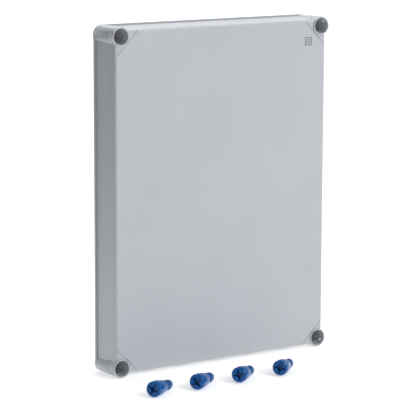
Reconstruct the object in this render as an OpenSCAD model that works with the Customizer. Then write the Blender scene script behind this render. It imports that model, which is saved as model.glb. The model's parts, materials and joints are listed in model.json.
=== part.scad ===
// Flat insulated junction box: a deep base shell with four corner columns, a lid with a screw tube
// at each corner, its gasket, four loose cover screws, and a five-pole terminal row on a rail.
// Origin: centre of the rear face, which goes against the wall. Front towards -Y, up is +Z.
// "Depth" below is always the distance in front of the wall, so depth d lies at y = -d.

/* [Enclosure] */
// Overall width
box_w = 375; // [360:1:400]
// Overall height
box_h = 500; // [480:1:520]
// Depth from the wall to the lid's face
face_depth = 51.5; // [51.5:0.5:56]
// Depth of the seam between base and lid
seam_depth = 42; // [41:0.5:43]
// Step from the box's outline in to the side walls, at the face
recess = 5; // [4:0.5:7]
// The same step at the rear, where the drafted walls meet the rim
rear_recess = 2.2; // [1:0.1:3]
// Thickness of the moulded walls
wall = 3; // [2.5:0.1:3.5]
// Depth of the full-size rim at the rear
rim_depth = 5; // [4:0.5:7]

/* [Corner tubes] */
// Outer radius of the tubes, and of the box's corners
tube_r = 13.7; // [13:0.1:15]
// Bore radius of the tubes
tube_bore_r = 11.5; // [11.3:0.1:12]
// How far the tubes stand out of the lid's face
ring_proud = 2; // [1:0.5:3]
// Bore radius behind the step, for the nut
nut_bore_r = 8.6; // [8.2:0.1:9]
// Depth of that step
step_depth = 20; // [18:0.5:22]

/* [Lid] */
// Edge radius around the lid's face
edge_r = 3.5; // [2:0.5:3.5]
// Reach of the diagonal corner grooves from the face's corner
groove_reach = 38; // [34:1:42]
// Radius of the hole for a seal wire in each tube
seal_hole_r = 2; // [1:0.25:2.25]
// Outward slope of that hole, in degrees
seal_hole_angle = 28; // [20:1:40]
// Side of the outer square of the double insulation sign
sign_side = 12; // [8:0.5:14]

/* [Cover screws] */
// Length of a cover screw
screw_l = 52; // [48:0.5:53]
// Radius of its head
screw_head_r = 11; // [10.5:0.1:11.2]
// Radius of its shank
screw_shank_r = 7; // [5:0.1:7]
// Spacing of the four screws laid out in front
screw_pitch = 71.5; // [60:0.5:80]
// Direction of the first laid-out screw, turned from +Y towards +X
screw_yaw = 57; // [30:1:60]
// How much less each next screw is turned
screw_yaw_step = 2; // [0:0.5:4]

/* [Inside] */
// Width of the mounting plate
plate_w = 290; // [280:1:296]
// Height of the mounting plate
plate_h = 420; // [400:1:424]
// Length of the mounting rail
rail_l = 240; // [220:1:260]
// Height of the rail's middle above the box's middle
rail_z = 60; // [40:1:100]
// Spacing of the terminals along the rail
pole_pitch = 22.4; // [22.2:0.1:24]
// Spacing of the cable entries
entry_pitch = 60; // [50:1:64]
// Bore radius of a cable entry's grommet
entry_r = 6; // [4:0.5:8]

/* [Hidden] */
$fn = 64;
eps = 0.01;
hole_x = box_w / 2 - tube_r;
hole_z = box_h / 2 - tube_r;
column = 2 * tube_r;
draft = (recess - rear_recess) / (face_depth - rim_depth);
shell_w = box_w - 2 * recess;
shell_h = box_h - 2 * recess;
ring_depth = face_depth + ring_proud;
lid_back = seam_depth + 0.3;
plate_inner = face_depth - wall;
tongue_depth = 38.5;
tongue_t = 2;
seal_gap = 0.3;
seal_t = 2.2;
plate_depth = 9;
plate_t = 2;
plate_screw_x = 130;
plate_screw_z = 195;
rail_depth = plate_depth + plate_t;
rail_h = 7.5;
rail_t = 1;
rail_top = rail_depth + rail_h;
rail_screw_x = 105;
pole_w = 22;
pole_h = 50;
pole_top = 45;
clamp_z = 14;
cage_depth = 20;
cage_h = 14;
bar_depth = 28.5;
bar_t = 2;
nut_depth = 6;
groove_side = 1.6;
fix_x = 163;
fix_z = 190;
fix_r = 3.2;
entry_depth = 24;
entry_hole_r = 12;
entry_z = -shell_h / 2 - draft * (face_depth - entry_depth);
screw_row_x = -195;
screw_row_depth = 168;
screw_taper_at = 13;
poles = ["l1", "l2", "l3", "n", "pe"];
sides = ["top", "bottom"];

light_grey = [0.76, 0.78, 0.80];
screw_blue = [0.06, 0.34, 0.60];

// Stands an outline drawn in X and Z up between two depths.
module between(near, far)
    translate([0, -near, 0]) rotate([90, 0, 0]) linear_extrude(far - near) children();

// Square to the drafted bottom wall, at each cable entry.
module at_entries()
    for (i = [-2:2])
        translate([i * entry_pitch, -entry_depth, entry_z]) rotate([-atan(draft), 0, 0]) children();

// A round bar along the depth direction.
module bar(r, near, far)
    translate([0, -near, 0]) rotate([90, 0, 0]) cylinder(r = r, h = far - near);

module at_corners(x, z)
    for (sx = [-1, 1], sz = [-1, 1]) translate([sx * x, 0, sz * z]) children();

// The full outline, with its rounded corners, drawn smaller by inset.
module outline(inset = 0) {
    w = box_w - 2 * inset;
    h = box_h - 2 * inset;
    square([w - column, h], center = true);
    square([w, h - column], center = true);
    for (sx = [-1, 1], sz = [-1, 1])
        translate([sx * hole_x, sz * hole_z]) circle(tube_r - inset);
}

// How far a wall's outside is from the middle at a depth, from its place at the face.
function drafted(at_face, depth) = at_face + draft * (face_depth - depth);

// Half a side's section, from the middle to the drafted wall, with a round edge at the face.
module wall_section(at_face) {
    lean = atan(draft);
    edge_x = at_face + edge_r * (draft - sqrt(1 + draft * draft));
    polygon([
        [0, 0], [drafted(at_face, 0), 0],
        [edge_x + edge_r * cos(lean), face_depth - edge_r + edge_r * sin(lean)],
        [edge_x, face_depth - edge_r], [edge_x, face_depth], [0, face_depth]
    ]);
    translate([edge_x, face_depth - edge_r]) circle(edge_r);
}

module both_ways() {
    children();
    mirror([1, 0]) children();
}

// The closed outer shape between the tubes: two drafted sections that cross.
module shell_block() intersection() {
    between(0, face_depth) outline();
    linear_extrude(box_h, center = true)
        mirror([0, 1]) both_ways() wall_section(shell_w / 2);
    translate([-box_w / 2, 0, 0]) rotate([90, 0, 90]) linear_extrude(box_w)
        rotate(90) both_ways() wall_section(shell_h / 2);
}

// A drafted block between two depths, as wide and high at the face as given.
module drafted_block(w, h, near, far) intersection() {
    linear_extrude(box_h, center = true) mirror([0, 1]) both_ways()
        polygon([[0, near], [drafted(w / 2, near), near], [drafted(w / 2, far), far], [0, far]]);
    translate([-box_w / 2, 0, 0]) rotate([90, 0, 90]) linear_extrude(box_w)
        rotate(90) both_ways()
            polygon([[0, near], [drafted(h / 2, near), near], [drafted(h / 2, far), far], [0, far]]);
}

// The space inside the walls, with the tubes standing in its corners.
module inside(near, far) difference() {
    drafted_block(shell_w - 2 * wall, shell_h - 2 * wall, near, far);
    at_corners(hole_x, hole_z) bar(tube_r, near - 1, far + 1);
}

// The inside's outline at the seam, drawn smaller by inset.
module seam_outline(inset)
    difference() {
        square([
            2 * (drafted(shell_w / 2, seam_depth) - wall - inset),
            2 * (drafted(shell_h / 2, seam_depth) - wall - inset)
        ], center = true);
        for (sx = [-1, 1], sz = [-1, 1])
            translate([sx * hole_x, sz * hole_z]) circle(tube_r + inset);
    }

// A closed band that follows the inside of the walls.
module band(inset, thickness)
    difference() {
        seam_outline(inset);
        seam_outline(inset + thickness);
    }

// What lies between two depths.
module slice(near, far)
    intersection() {
        children();
        translate([-box_w, -far, -box_h]) cube([2 * box_w, far - near, 2 * box_h]);
    }

module base_box() color(light_grey) difference() {
    union() {
        between(0, 1.2) outline(0.8);
        between(1.2, rim_depth) outline();
        slice(0, seam_depth) shell_block();
        at_corners(hole_x, hole_z) bar(tube_r, 0, seam_depth);
    }
    difference() {
        inside(wall, seam_depth + 1);
        at_corners(plate_screw_x, plate_screw_z) bar(7, 0, plate_depth);
    }
    at_corners(plate_screw_x, plate_screw_z) bar(1.7, wall, plate_depth + 1);
    at_corners(hole_x, hole_z) {
        bar(tube_bore_r, step_depth, seam_depth + 1);
        bar(nut_bore_r, nut_depth, step_depth + 1);
        bar(screw_shank_r + 0.6, -1, nut_depth + 1);
    }
    at_corners(fix_x, fix_z) bar(fix_r, -1, wall + 1);
    at_entries() translate([0, 0, -5]) cylinder(r = entry_hole_r, h = wall + 10);
}

// A tube's front end, with a rounded lip.
module tube_lip() {
    lip_r = (tube_r - tube_bore_r) / 2;
    bar(tube_r, face_depth - 1, ring_depth - lip_r);
    translate([0, lip_r - ring_depth, 0]) rotate([90, 0, 0])
        rotate_extrude() translate([tube_r - lip_r, 0]) circle(lip_r, $fn = 32);
}

// A V groove across each corner of the face.
module corner_grooves() {
    mid_x = shell_w / 2 - groove_reach / 2;
    mid_z = shell_h / 2 - groove_reach / 2;
    for (sx = [-1, 1], sz = [-1, 1])
        translate([sx * mid_x, -face_depth, sz * mid_z])
            rotate([0, sx * sz * 45, 0]) rotate([45, 0, 0])
                cube([2 * groove_reach, groove_side, groove_side], center = true);
}

module seal_holes()
    for (sx = [-1, 1], sz = [-1, 1])
        translate([sx * hole_x, 9 - ring_depth, sz * hole_z])
            rotate([0, sx * (90 - sz * seal_hole_angle), 0])
                translate([0, 0, 8]) cylinder(r = seal_hole_r, h = 8, $fn = 32);

module lid() color(light_grey) difference() {
    union() {
        difference() {
            union() {
                slice(lid_back, face_depth + 1) shell_block();
                at_corners(hole_x, hole_z) {
                    bar(tube_r, lid_back, face_depth);
                    tube_lip();
                }
            }
            inside(lid_back - 1, plate_inner);
            corner_grooves();
        }
        between(tongue_depth, plate_inner + eps) band(seal_gap + seal_t + 0.1, tongue_t);
    }
    at_corners(hole_x, hole_z) bar(tube_bore_r, lid_back - 1, ring_depth + 1);
    seal_holes();
}

module lid_gasket() color("dimgray") between(tongue_depth, lid_back) band(seal_gap, seal_t);

// The sign for double insulation: a square in a square, printed on the lid.
module double_insulation_sign() color([0.3, 0.32, 0.34])
    translate([hole_x - 22.5, 0, hole_z - 22])
        between(face_depth, face_depth + 0.2)
            for (side = [sign_side, sign_side / 2])
                difference() {
                    square(side, center = true);
                    square(side - 2, center = true);
                }

// Half the section of a cover screw: chamfered head, taper, shoulder, shank and rounded tip.
function screw_section() = [
    [0, 0], [screw_head_r - 1.5, 0], [screw_head_r, 1.5], [screw_head_r, screw_taper_at],
    [9, 30], [8.2, 31.5], [screw_shank_r, 31.5], [screw_shank_r, screw_l - 1],
    [screw_shank_r - 1, screw_l], [0, screw_l]
];

// A cover screw with the face of its head at the origin and its tip along +Z.
module cover_screw() color(screw_blue) difference() {
    rotate_extrude() polygon(screw_section());
    translate([0, 0, -1]) cylinder(r = 4.2, h = 7);
    for (turn = [0, 90])
        rotate([0, 0, turn]) translate([0, 0, 1.5]) cube([15, 2.6, 5], center = true);
}

// The head's rear edge and the tip's edge both touch the ground.
module laid_screw(number) {
    tilt = atan((screw_head_r - screw_shank_r) / (screw_l - 1 - screw_taper_at));
    rise = screw_taper_at * sin(tilt) + screw_head_r * cos(tilt);
    translate([screw_row_x + (number - 1) * screw_pitch, -screw_row_depth, rise - box_h / 2])
        rotate([0, 0, (number - 1) * screw_yaw_step - screw_yaw]) rotate([-90 - tilt, 0, 0])
            rotate([0, 0, number * 25]) cover_screw();
}

module corner_nuts() color("goldenrod") at_corners(hole_x, hole_z) difference() {
    bar(nut_bore_r - 0.05, nut_depth, nut_depth + 12);
    bar(screw_shank_r + 0.1, nut_depth - 1, nut_depth + 13);
}

// A rubber grommet in each cable entry of the bottom wall, held between its two flanges.
module cable_grommets() color([0.25, 0.27, 0.3]) at_entries() difference() {
    union() {
        translate([0, 0, -2]) cylinder(r = 15, h = 2);
        translate([0, 0, -eps]) cylinder(r = entry_hole_r - 0.05, h = wall + 2 * eps);
        translate([0, 0, wall]) cylinder(r1 = 13.5, r2 = 9, h = 5);
    }
    translate([0, 0, -3]) cylinder(r = entry_r, h = wall + 10);
}

module mounting_plate() color("silver") difference() {
    between(plate_depth, plate_depth + plate_t) square([plate_w, plate_h], center = true);
    at_corners(plate_screw_x, plate_screw_z) bar(2.2, plate_depth - 1, plate_depth + plate_t + 1);
    for (side = [-1, 1])
        translate([side * rail_screw_x, 0, rail_z]) bar(1.8, plate_depth - 1, rail_depth + 1);
}

// A pan-head screw with a crosshead, under a head that starts at a depth.
module pan_screw(thread_r, tip, under_head, head_r) difference() {
    union() {
        bar(thread_r, tip, under_head + eps);
        bar(head_r, under_head, under_head + 2.4);
    }
    for (turn = [0, 90])
        translate([0, -under_head - 2.4, 0]) rotate([0, turn, 0])
            cube([head_r * 1.2, 2.4, 0.8], center = true);
}

module mounting_plate_screws() color("gainsboro")
    at_corners(plate_screw_x, plate_screw_z) pan_screw(1.65, 4, rail_depth, 4);

// Top-hat rail: its floor lies on the plate and its two brims face the front.
module din_rail() color("silver") difference() {
    translate([-rail_l / 2, 0, rail_z]) rotate([90, 0, 90]) linear_extrude(rail_l)
        polygon([
            [-rail_depth, -13.5], [-rail_depth, 13.5], [rail_t - rail_top, 13.5],
            [rail_t - rail_top, 17.5], [-rail_top, 17.5], [-rail_top, 12.5],
            [-rail_depth - rail_t, 12.5], [-rail_depth - rail_t, -12.5], [-rail_top, -12.5],
            [-rail_top, -17.5], [rail_t - rail_top, -17.5], [rail_t - rail_top, -13.5]
        ]);
    for (side = [-1, 1])
        translate([side * rail_screw_x, 0, rail_z]) bar(2.2, rail_depth - 1, rail_top);
}

module din_rail_screws() color("gainsboro") for (side = [-1, 1])
    translate([side * rail_screw_x, 0, rail_z]) pan_screw(1.75, 6, rail_depth + rail_t, 4);

// What hooks a fitting on the rail: the space that the brims take up, with a little room.
module rail_space(width)
    translate([-width / 2, -rail_top - 0.1, -17.7]) cube([width, 20, 35.4]);

module end_stop(side) color([0.7, 0.72, 0.74])
    translate([side * (2.5 * pole_pitch + 5), 0, rail_z]) difference() {
        translate([-4, -30, -22]) cube([8, 16, 44]);
        rail_space(10);
        bar(1.8, 26, 31);
    }

function pole_x(index) = (index - 2) * pole_pitch;

// One pole's insulating housing: two wire entries, two clamp pockets and two screw wells.
module terminal(index) color(index == 4 ? "yellowgreen" : index == 3 ? "royalblue" : "lightgray")
    translate([pole_x(index), 0, rail_z]) difference() {
        translate([-pole_w / 2, -pole_top, -pole_h / 2]) cube([pole_w, pole_top - 14, pole_h]);
        rail_space(pole_w + 2);
        translate([-4.5, -bar_depth - bar_t - 0.3, -pole_h]) cube([9, 8.6, 2 * pole_h]);
        for (sz = [-1, 1]) translate([0, 0, sz * clamp_z]) {
            translate([-6.4, -39, -4.4]) cube([12.8, 19.4, 8.8]);
            bar(3.7, 38, pole_top + 1);
        }
    }

module current_bars() color("goldenrod") for (i = [0:4])
    translate([pole_x(i) - 3.5, -bar_depth - bar_t, rail_z - 19]) cube([7, bar_t, 38]);

module clamp_screw(index, sz) color("gainsboro")
    translate([pole_x(index), 0, rail_z + sz * clamp_z]) difference() {
        union() {
            bar(2.5, bar_depth + bar_t + 0.2, 41 + eps);
            bar(3.4, 41, 44.5);
        }
        translate([0, -44.5, 0]) cube([8, 3, 1], center = true);
    }

// A rising cage: its front end is threaded on the screw and its rear end lifts the wire.
module clamp_cage(index, sz) color("goldenrod")
    translate([pole_x(index), 0, rail_z + sz * clamp_z]) difference() {
        translate([-6, -cage_depth - cage_h, -4]) cube([12, cage_h, 8]);
        translate([-3.9, 3 - cage_depth - cage_h, -5]) cube([7.8, cage_h - 5.5, 10]);
        bar(2.6, cage_depth + cage_h - 4, cage_depth + cage_h + 1);
    }

base_box();
lid();
lid_gasket();
double_insulation_sign();
for (number = [1:4])
    laid_screw(number);
corner_nuts();
cable_grommets();
mounting_plate();
mounting_plate_screws();
din_rail();
din_rail_screws();
end_stop(-1);  // end_stop_left
end_stop(1);  // end_stop_right
current_bars();
for (i = [0:4]) {
    terminal(i);
    for (s = [0, 1]) {
        clamp_screw(i, 1 - 2 * s);
        clamp_cage(i, 1 - 2 * s);
    }
}
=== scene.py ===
"""Looks of the flat insulated junction box: materials, softened edges, fine pieces, studio and camera."""

import json
import math

import bpy
from mathutils import Matrix, Vector


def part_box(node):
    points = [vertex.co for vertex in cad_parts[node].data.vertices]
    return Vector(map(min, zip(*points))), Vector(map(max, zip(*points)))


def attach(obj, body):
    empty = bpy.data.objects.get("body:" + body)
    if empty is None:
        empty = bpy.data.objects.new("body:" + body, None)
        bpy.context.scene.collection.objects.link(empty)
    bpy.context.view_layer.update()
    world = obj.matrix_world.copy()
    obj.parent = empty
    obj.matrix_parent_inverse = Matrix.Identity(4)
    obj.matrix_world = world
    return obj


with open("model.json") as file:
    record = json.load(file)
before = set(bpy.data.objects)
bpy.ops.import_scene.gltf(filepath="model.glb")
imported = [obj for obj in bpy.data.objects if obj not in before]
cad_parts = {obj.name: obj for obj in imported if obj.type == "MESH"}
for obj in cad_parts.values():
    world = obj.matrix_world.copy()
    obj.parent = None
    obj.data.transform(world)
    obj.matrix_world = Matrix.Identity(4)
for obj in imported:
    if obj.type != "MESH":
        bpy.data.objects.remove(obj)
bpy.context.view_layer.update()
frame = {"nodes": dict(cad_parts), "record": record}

MM = 0.001
lid_low, lid_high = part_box("lid")
box_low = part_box("base_box")[0]

# ---------------------------------------------------------------- camera

VIEW_AZIMUTH = math.radians(34.58)  # the camera stands to the left of the lid's normal
VIEW_ELEVATION = math.radians(9.54)
VIEW_ROLL = math.radians(0.27)
VIEW_DISTANCE = 3.014
LENS = 178.2
SHIFT = (-0.033, -0.038)


def make_camera():
    """A long lens to the front left of the lid and a little above it."""
    across = math.cos(VIEW_ELEVATION)
    ahead = Vector((
        math.sin(VIEW_AZIMUTH) * across, math.cos(VIEW_AZIMUTH) * across, -math.sin(VIEW_ELEVATION),
    ))
    level_right = Vector((math.cos(VIEW_AZIMUTH), -math.sin(VIEW_AZIMUTH), 0))
    level_up = level_right.cross(ahead)
    right = math.cos(VIEW_ROLL) * level_right + math.sin(VIEW_ROLL) * level_up
    up = right.cross(ahead)
    aim = Vector((0, lid_low.y, (lid_low.z + lid_high.z) / 2))
    camera = bpy.data.objects.new("camera", bpy.data.cameras.new("camera"))
    bpy.context.scene.collection.objects.link(camera)
    turn = Matrix((right, up, -ahead)).transposed()
    camera.matrix_world = Matrix.Translation(aim - ahead * VIEW_DISTANCE) @ turn.to_4x4()
    camera.data.lens = LENS
    camera.data.shift_x, camera.data.shift_y = SHIFT
    camera.data.clip_end = 50
    bpy.context.scene.camera = camera


# ---------------------------------------------------------------- materials


class Shader:
    """A node material built step by step around one Principled shader."""

    def __init__(self, name, roughness, metallic=0.0, specular=0.5):
        self.material = bpy.data.materials.new(name)
        self.material.use_nodes = True
        self.tree = self.material.node_tree
        self.surface = self.tree.nodes["Principled BSDF"]
        self.surface.inputs["Roughness"].default_value = roughness
        self.surface.inputs["Metallic"].default_value = metallic
        self.surface.inputs["Specular IOR Level"].default_value = specular
        self.place = self.tree.nodes.new("ShaderNodeTexCoord").outputs["Object"]
        self.last_bump = None

    def node(self, kind, **values):
        made = self.tree.nodes.new(kind)
        for key, value in values.items():
            setattr(made, key, value)
        return made

    def link(self, output, target):
        self.tree.links.new(output, target)

    def stretched(self, scale):
        """Object coordinates, scaled differently along each axis."""
        mapping = self.node("ShaderNodeMapping")
        mapping.inputs["Scale"].default_value = scale
        self.link(self.place, mapping.inputs["Vector"])
        return mapping.outputs["Vector"]

    def noise(self, size, detail=2.0, stretch=None):
        """Smooth noise with features of about that size in metres."""
        made = self.node("ShaderNodeTexNoise")
        made.inputs["Scale"].default_value = 1 / size
        made.inputs["Detail"].default_value = detail
        self.link(self.stretched(stretch) if stretch else self.place, made.inputs["Vector"])
        return made.outputs["Fac"]

    def span(self, value, low, high, start=0.3, end=0.7):
        """Takes value from start..end to low..high."""
        made = self.node("ShaderNodeMapRange")
        for key, number in zip(("From Min", "From Max", "To Min", "To Max"), (start, end, low, high)):
            made.inputs[key].default_value = number
        self.link(value, made.inputs["Value"])
        return made.outputs["Result"]

    def blend(self, amount, first, second):
        """Mixes two colours, each a colour or a node's output, by amount."""
        made = self.node("ShaderNodeMix", data_type="RGBA")
        for index, value in ((0, amount), (6, first), (7, second)):
            socket = made.inputs[index]
            if isinstance(value, bpy.types.NodeSocket):
                self.link(value, socket)
            elif isinstance(value, tuple):
                socket.default_value = (*value, 1.0)
            else:
                socket.default_value = value
        return made.outputs[2]

    def one_sided(self):
        """Lets the surface be seen from its front only."""
        geometry = self.node("ShaderNodeNewGeometry")
        mix = self.node("ShaderNodeMixShader")
        self.link(geometry.outputs["Backfacing"], mix.inputs[0])
        self.link(self.surface.outputs["BSDF"], mix.inputs[1])
        self.link(self.node("ShaderNodeBsdfTransparent").outputs["BSDF"], mix.inputs[2])
        self.link(mix.outputs["Shader"], self.tree.nodes["Material Output"].inputs["Surface"])

    def colour(self, output):
        self.link(output, self.surface.inputs["Base Color"])

    def gloss(self, output):
        self.link(output, self.surface.inputs["Roughness"])

    def bump(self, height, depth):
        """Adds relief over what is there: depth is its height in metres."""
        made = self.node("ShaderNodeBump")
        made.inputs["Distance"].default_value = depth
        made.inputs["Strength"].default_value = 1.0
        self.link(height, made.inputs["Height"])
        if self.last_bump:
            self.link(self.last_bump, made.inputs["Normal"])
        self.last_bump = made.outputs["Normal"]
        self.link(self.last_bump, self.surface.inputs["Normal"])

    def occlusion_shade_mask(self, reach):
        """Mask for painted shade, from ambient occlusion: 0 in the open, up to 1 deep inside a bore, a
        groove or a corner.
        """
        occlusion = self.node("ShaderNodeAmbientOcclusion", samples=6, only_local=True)
        occlusion.inputs["Distance"].default_value = reach
        return self.span(occlusion.outputs["AO"], 1.0, 0.0, 0.1, 0.52)

    def edges(self, radius):
        """0 on flat stretches, up to 1 on edges and in corners."""
        bevel = self.node("ShaderNodeBevel", samples=4)
        bevel.inputs["Radius"].default_value = radius
        geometry = self.node("ShaderNodeNewGeometry")
        dot = self.node("ShaderNodeVectorMath", operation="DOT_PRODUCT")
        self.link(bevel.outputs["Normal"], dot.inputs[0])
        self.link(geometry.outputs["Normal"], dot.inputs[1])
        return self.span(dot.outputs["Value"], 1.0, 0.0, 0.8, 0.995)


def darker(colour, share):
    return tuple(channel * share for channel in colour)


MOULD_RELIEF = 0.02 * MM
EDGE_WEAR = 0.12
# how strongly painted shade darkens the deepest hollows
HOLLOW_SHADE = 0.75
HOLLOW_REACH = 7 * MM


def moulded(name, colour, roughness, grain=0.9 * MM):
    """Moulded plastic: clouded and speckled, with fine grain, paler edges and painted shade in its
    hollows.
    """
    shader = Shader(name, roughness)
    clouds = shader.span(shader.noise(90 * MM, 4.0), 0.0, 1.0)
    specks = shader.span(shader.noise(grain * 1.6, 2.0), 0.0, 1.0)
    base = shader.blend(clouds, darker(colour, 0.965), darker(colour, 1.02))
    base = shader.blend(shader.span(specks, 0.0, 0.5, 0.0, 1.0), base, darker(colour, 0.94))
    worn = shader.span(shader.edges(0.8 * MM), 0.0, EDGE_WEAR, 0.0, 1.0)
    base = shader.blend(worn, base, tuple(min(1.0, c * 1.35 + 0.03) for c in colour))
    # painted shade: darker towards the inside of bores, grooves and corners
    shade_in_hollows = shader.span(shader.occlusion_shade_mask(HOLLOW_REACH), 0.0, HOLLOW_SHADE, 0.0, 1.0)
    shader.colour(shader.blend(shade_in_hollows, base, darker(colour, 0.3)))
    shader.gloss(shader.span(shader.noise(30 * MM, 3.0), roughness - 0.05, roughness + 0.06))
    shader.bump(shader.noise(grain, 3.0), MOULD_RELIEF)
    shader.bump(shader.noise(60 * MM, 2.0), 6 * MOULD_RELIEF)
    return shader.material


def metal(name, colour, roughness, stretch):
    """Rolled or turned metal: fine drawn lines, and a faint uneven tarnish."""
    shader = Shader(name, roughness, metallic=1.0)
    tarnish = shader.span(shader.noise(20 * MM, 4.0), 0.0, 1.0)
    lines = shader.noise(1.5 * MM, 3.0, stretch)
    base = shader.blend(tarnish, darker(colour, 0.85), colour)
    shader.colour(shader.blend(shader.span(lines, 0.0, 0.3), base, darker(colour, 0.8)))
    shader.gloss(shader.span(lines, roughness - 0.07, roughness + 0.1))
    shader.bump(lines, 0.012 * MM)
    return shader.material


def rubber(name, colour, roughness=0.75):
    """Soft elastomer with a dusty bloom and pores."""
    shader = Shader(name, roughness, specular=0.35)
    bloom = shader.span(shader.noise(15 * MM, 5.0), 0.0, 1.0)
    shader.colour(shader.blend(bloom, colour, tuple(min(1.0, c * 1.25 + 0.02) for c in colour)))
    shader.gloss(shader.span(shader.noise(4 * MM, 3.0), roughness - 0.1, roughness + 0.1))
    shader.bump(shader.noise(0.7 * MM, 2.0), 0.04 * MM)
    return shader.material


BAND_REPEAT = math.pi / 10  # how far apart, in metres, the wave texture's bands are at a scale of 1


def striped(name, first, second, roughness, pitch):
    """Moulded plastic in stripes of two colours, a pair of stripes to each pitch."""
    shader = Shader(name, roughness)
    wave = shader.node("ShaderNodeTexWave", wave_type="BANDS", bands_direction="Z", wave_profile="SIN")
    wave.inputs["Scale"].default_value = BAND_REPEAT / pitch
    shader.link(shader.place, wave.inputs["Vector"])
    stripe = shader.span(wave.outputs["Fac"], 0.0, 1.0, 0.48, 0.52)
    base = shader.blend(stripe, first, second)
    dust = shader.span(shader.noise(10 * MM, 4.0), 0.0, 0.12)
    shader.colour(shader.blend(dust, base, (0.1, 0.1, 0.1)))
    shader.gloss(shader.span(shader.noise(10 * MM, 3.0), roughness - 0.05, roughness + 0.05))
    shader.bump(shader.noise(0.8 * MM, 3.0), 0.02 * MM)
    return shader.material


def ink(name, colour):
    """Printed ink: almost flat, and a little uneven."""
    shader = Shader(name, 0.5)
    thin = shader.span(shader.noise(0.8 * MM, 3.0), 0.0, 0.35)
    shader.colour(shader.blend(thin, colour, (0.3, 0.31, 0.33)))
    shader.bump(shader.noise(0.6 * MM, 2.0), 0.01 * MM)
    return shader.material


def screw_plastic(name, colour, edge_shade):
    """Glossy plastic: clouded, painted darker along its edges as shade, with fine sink marks."""
    shader = Shader(name, 0.2, specular=0.25)
    clouds = shader.span(shader.noise(12 * MM, 4.0), 0.0, 1.0)
    base = shader.blend(clouds, darker(colour, 0.85), colour)
    # painted shade: the edges turn towards the darker edge colour
    shader.colour(shader.blend(shader.span(shader.edges(1.2 * MM), 0.0, 0.55, 0.0, 1.0), base, edge_shade))
    shader.gloss(shader.span(shader.noise(6 * MM, 3.0), 0.13, 0.26))
    shader.bump(shader.noise(4 * MM, 3.0), 0.08 * MM)
    return shader.material


def make_materials():
    return {
        "enclosure_plastic": moulded("enclosure_plastic", (0.50, 0.522, 0.557), 0.34),
        "screw_plastic": screw_plastic("screw_plastic", (0.002, 0.105, 0.36), (0.0, 0.03, 0.13)),
        "gasket_foam": rubber("gasket_foam", (0.03, 0.03, 0.032)),
        "sign_ink": ink("sign_ink", (0.09, 0.10, 0.11)),
        "grommet_rubber": rubber("grommet_rubber", (0.20, 0.21, 0.23), 0.6),
        "brass": metal("brass", (0.62, 0.42, 0.14), 0.3, stretch=(1, 8, 1)),
        "plated_steel": metal("plated_steel", (0.60, 0.61, 0.62), 0.34, stretch=(1, 1, 16)),
        "fastener_steel": metal("fastener_steel", (0.50, 0.51, 0.52), 0.28, stretch=(1, 6, 1)),
        "terminal_grey": moulded("terminal_grey", (0.33, 0.35, 0.37), 0.42, grain=0.6 * MM),
        "terminal_blue": moulded("terminal_blue", (0.02, 0.09, 0.33), 0.4, grain=0.6 * MM),
        "terminal_green": striped("terminal_green", (0.62, 0.60, 0.03), (0.03, 0.24, 0.06), 0.42, 8 * MM),
    }


# ---------------------------------------------------------------- finishing the CAD nodes

EDGE_WIDTHS = {
    "enclosure_plastic": 0.5 * MM,
    "screw_plastic": 0.4 * MM,
    "plated_steel": 0.15 * MM,
    "fastener_steel": 0.12 * MM,
    "brass": 0.12 * MM,
    "grommet_rubber": 0.4 * MM,
    "terminal_grey": 0.3 * MM,
    "terminal_blue": 0.3 * MM,
    "terminal_green": 0.3 * MM,
}


def soften(piece, width):
    """Rounds a CAD node's sharp edges by modifiers, which leave its mesh as it is."""
    weld = piece.modifiers.new("weld", "WELD")
    weld.merge_threshold = 0.002 * MM
    bevel = piece.modifiers.new("edges", "BEVEL")
    bevel.width = width
    bevel.segments = 3
    bevel.limit_method = "ANGLE"
    bevel.angle_limit = math.radians(38)
    bevel.harden_normals = True
    bevel.use_clamp_overlap = True


def dress_nodes(materials):
    slot_of = {part["node"]: part["material_slot"] for part in frame["record"]["subparts"]}
    for name, piece in frame["nodes"].items():
        slot = slot_of[name]
        piece.data.materials.clear()
        piece.data.materials.append(materials[slot])
        if slot in EDGE_WIDTHS:
            soften(piece, EDGE_WIDTHS[slot])


# ---------------------------------------------------------------- pieces too fine for the CAD

SCREW_YAW = 57  # the first cover screw's direction in degrees, from +Y towards +X
SCREW_YAW_STEP = 2  # each next screw lies that much nearer to +Y
# Edges of a cover screw: distance from the head's face, and radius.
HEAD_FRONT = ((0, 9.5 * MM), (1.5 * MM, 11 * MM))
HEAD_REAR = (13 * MM, 11 * MM)
TIP_EDGE = (51 * MM, 7 * MM)
THREAD_RUN = (34 * MM, 46.5 * MM)
THREAD_PITCH = 3.1 * MM
THREAD_HEIGHT = 0.35 * MM
THREAD_HALF_WIDTH = 1 * MM
# Points across the thread: shares of its height, and of its half width.
THREAD_PROFILE = ((-0.1, -0.9), (0.9, -0.25), (1.0, 0.0), (0.9, 0.25), (-0.1, 0.9))
STEPS_PER_TURN = 36
RUN_OUT_STEPS = 14

MARKER_MARGIN = 3 * MM
MARKER_HALF_HEIGHT = 4.5 * MM
MARKER_SUNK = 0.2 * MM
MARKER_PROUD = 0.5 * MM


def add_piece(name, verts, faces, material, body):
    mesh = bpy.data.meshes.new(name)
    mesh.from_pydata(verts, [], faces)
    mesh.materials.append(material)
    piece = bpy.data.objects.new(name, mesh)
    bpy.context.scene.collection.objects.link(piece)
    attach(piece, body)
    return piece


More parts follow.
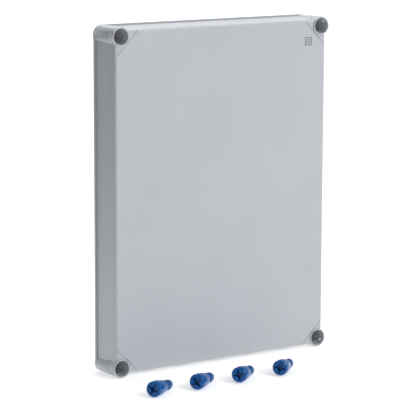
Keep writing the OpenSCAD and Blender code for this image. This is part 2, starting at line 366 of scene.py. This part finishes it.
def screw_place(number):
    """Takes a cover screw with its head's face at the origin and its tip along +Z to where it lies."""
    tilt = math.atan((HEAD_REAR[1] - TIP_EDGE[1]) / (TIP_EDGE[0] - HEAD_REAR[0]))
    yaw = SCREW_YAW - SCREW_YAW_STEP * (number - 1)
    turn = Matrix.Rotation(math.radians(-yaw), 4, "Z")
    turn = turn @ Matrix.Rotation(-math.pi / 2 - tilt, 4, "X")
    axis = turn @ Vector((0, 0, 1))
    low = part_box(f"cover_screw_{number}")[0]
    head = [
        low[k] - min(at * axis[k] - r * math.sqrt(1 - axis[k] ** 2) for at, r in HEAD_FRONT)
        for k in (0, 1)
    ]
    rise = HEAD_REAR[0] * math.sin(tilt) + HEAD_REAR[1] * math.cos(tilt)
    return Matrix.Translation((*head, low.z + rise)) @ turn


def add_thread(number, material):
    """A low coarse thread that winds round a cover screw's shank and runs out at both ends."""
    start, end = THREAD_RUN
    radius = TIP_EDGE[1]
    place = screw_place(number)
    count = round((end - start) / THREAD_PITCH * STEPS_PER_TURN)
    verts = []
    for step in range(count + 1):
        angle = 2 * math.pi * step / STEPS_PER_TURN
        along = start + (end - start) * step / count
        full = min(1.0, step / RUN_OUT_STEPS, (count - step) / RUN_OUT_STEPS)
        for share, aside in THREAD_PROFILE:
            out = share * full if share > 0 else share
            r = radius + out * THREAD_HEIGHT
            z = along + aside * THREAD_HALF_WIDTH
            verts.append(place @ Vector((r * math.cos(angle), r * math.sin(angle), z)))
    ring = len(THREAD_PROFILE)
    faces = [tuple(range(ring - 1, -1, -1)), tuple(range(ring * count, ring * (count + 1)))]
    for step in range(count):
        for k in range(ring):
            a, b = ring * step + k, ring * step + (k + 1) % ring
            faces.append((a, b, b + ring, a + ring))
    piece = add_piece(f"cover_screw_{number}_thread", verts, faces, material, f"cover_screw_{number}")
    piece.data.shade_smooth()


def add_marker(pole, material):
    """A blank marker plate clipped on the front of a terminal."""
    low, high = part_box(f"terminal_{pole}")
    middle = (low.z + high.z) / 2
    corners = [
        (x, y, z)
        for y in (low.y + MARKER_SUNK, low.y - MARKER_PROUD)
        for z in (middle - MARKER_HALF_HEIGHT, middle + MARKER_HALF_HEIGHT)
        for x in (low.x + MARKER_MARGIN, high.x - MARKER_MARGIN)
    ]
    faces = [(0, 2, 3, 1), (4, 5, 7, 6), (0, 1, 5, 4), (2, 6, 7, 3), (0, 4, 6, 2), (1, 3, 7, 5)]
    piece = add_piece(f"pole_marker_{pole}", corners, faces, material, "box")
    bevel = piece.modifiers.new("edges", "BEVEL")
    bevel.width = 0.25 * MM
    bevel.segments = 2


def add_fine_pieces(materials):
    for number in range(1, 5):
        add_thread(number, materials["screw_plastic"])
    marker = moulded("marker_plastic", (0.74, 0.74, 0.71), 0.42, grain=0.6 * MM)
    for pole in ("l1", "l2", "l3", "n", "pe"):
        add_marker(pole, marker)


# ---------------------------------------------------------------- studio

FLOOR_SIDE = 14.0
WALL_HEIGHT = 6.0
SWEEP_BACK = 3.2
SWEEP_RADIUS = 1.6
SWEEP_STEPS = 24
PAPER_GLOW = 0.5
FLAG_X = -1.0
FLAG_FRONT = -0.5
FLAG_BACK = 1.7
FLAG_HEIGHT = 1.9


def make_studio_sweep():
    """A pale floor that curves up into a backdrop behind the box."""
    bend = SWEEP_BACK - SWEEP_RADIUS
    profile = [(-FLOOR_SIDE / 2, 0.0), (bend, 0.0)]
    for step in range(1, SWEEP_STEPS + 1):
        angle = math.pi / 2 * step / SWEEP_STEPS
        profile.append((bend + SWEEP_RADIUS * math.sin(angle), SWEEP_RADIUS * (1 - math.cos(angle))))
    profile.append((SWEEP_BACK, WALL_HEIGHT))
    ground = box_low.z
    verts = [(side * FLOOR_SIDE / 2, y, ground + z) for y, z in profile for side in (-1, 1)]
    faces = [(2 * i, 2 * i + 1, 2 * i + 3, 2 * i + 2) for i in range(len(profile) - 1)]
    mesh = bpy.data.meshes.new("studio_floor")
    mesh.from_pydata(verts, [], faces)
    mesh.shade_smooth()
    floor = bpy.data.objects.new("studio_floor", mesh)
    bpy.context.scene.collection.objects.link(floor)
    paper = Shader("studio_paper", 0.9, specular=0.0)
    paper.surface.inputs["Emission Color"].default_value = (1, 1, 1, 1)
    paper.surface.inputs["Emission Strength"].default_value = PAPER_GLOW
    clouds = paper.span(paper.noise(0.4, 3.0), 0.0, 1.0)
    paper.colour(paper.blend(clouds, (0.70, 0.70, 0.70), (0.72, 0.72, 0.72)))
    paper.one_sided()
    mesh.materials.append(paper.material)


def make_flag():
    """A grey card to the left, out of the camera's sight, that keeps light off the left wall."""
    low, high = box_low.z, box_low.z + FLAG_HEIGHT
    corners = [(FLAG_FRONT, low), (FLAG_BACK, low), (FLAG_BACK, high), (FLAG_FRONT, high)]
    mesh = bpy.data.meshes.new("studio_flag")
    mesh.from_pydata([(FLAG_X, y, z) for y, z in corners], [], [(0, 1, 2, 3)])
    flag = bpy.data.objects.new("studio_flag", mesh)
    bpy.context.scene.collection.objects.link(flag)
    card = Shader("studio_card", 0.9, specular=0.0)
    clouds = card.span(card.noise(0.2, 3.0), 0.0, 1.0)
    card.colour(card.blend(clouds, (0.16, 0.16, 0.17), (0.19, 0.19, 0.20)))
    card.one_sided()
    mesh.materials.append(card.material)
    flag.visible_camera = False


def area_light(name, place, aim, size, power):
    """A rectangular light at place that points at aim; size in metres and power in watts."""
    light = bpy.data.objects.new(name, bpy.data.lights.new(name, "AREA"))
    bpy.context.scene.collection.objects.link(light)
    light.data.shape = "RECTANGLE"
    light.data.size, light.data.size_y = size
    light.data.energy = power
    light.location = place
    light.rotation_euler = (Vector(aim) - Vector(place)).to_track_quat("-Z", "Y").to_euler()


def make_lights():
    middle = (0, box_low.y, 0)
    area_light("key", (1.3, -3.2, 2.4), middle, (1.8, 1.6), 94)
    area_light("top", (1.5, -0.4, 2.3), (0, 0, 0.2), (1.0, 1.0), 14)
    area_light("rear", (0.9, 2.0, 2.0), (0, 0, 0), (1.6, 1.2), 12)
    area_light("backdrop", (0.0, 1.2, 3.6), (0.3, 3.0, 0.6), (4.0, 1.6), 60)
    world = bpy.data.worlds.new("studio")
    bpy.context.scene.world = world
    world.use_nodes = True
    background = world.node_tree.nodes["Background"]
    background.inputs["Color"].default_value = (0.94, 0.97, 1.0, 1.0)
    background.inputs["Strength"].default_value = 0.14
    bpy.context.scene.view_settings.view_transform = "Standard"


make_camera()
finishes = make_materials()
dress_nodes(finishes)
add_fine_pieces(finishes)
make_studio_sweep()
make_flag()
make_lights()
